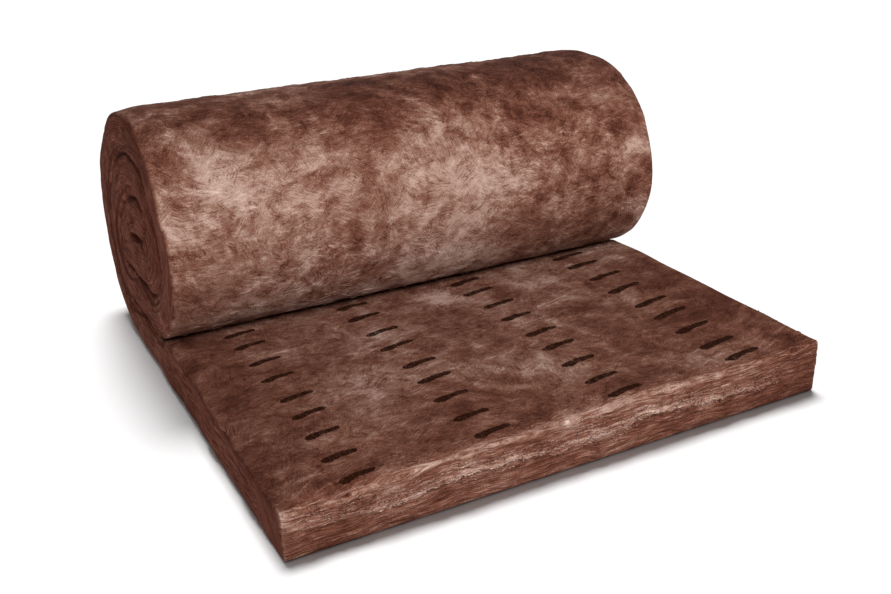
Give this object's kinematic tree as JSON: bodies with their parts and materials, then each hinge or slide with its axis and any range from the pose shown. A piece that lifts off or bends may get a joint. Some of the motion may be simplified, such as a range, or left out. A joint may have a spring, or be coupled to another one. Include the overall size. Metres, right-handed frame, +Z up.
{
  "type": "insulation roll",
  "caption": "Partly unrolled blanket of mineral wool insulation: a thick flat felt with rows of cutting marks in front, wound into a roll behind.",
  "frame": {"origin": "on the floor, in the middle of the object's width and depth", "axes": "+X along the felt's width and the roll's axis, -Y towards the free cut end, +Y towards the back of the roll, +Z up"},
  "size_m": [1.2, 1.2445, 0.5922],
  "materials": {
    "mineral_wool": "matt fibrous mineral wool, mottled reddish brown, dark brown cutting marks"
  },
  "bodies": {
    "root": {"wool_blanket": "mineral_wool"}
  },
  "joints": []
}
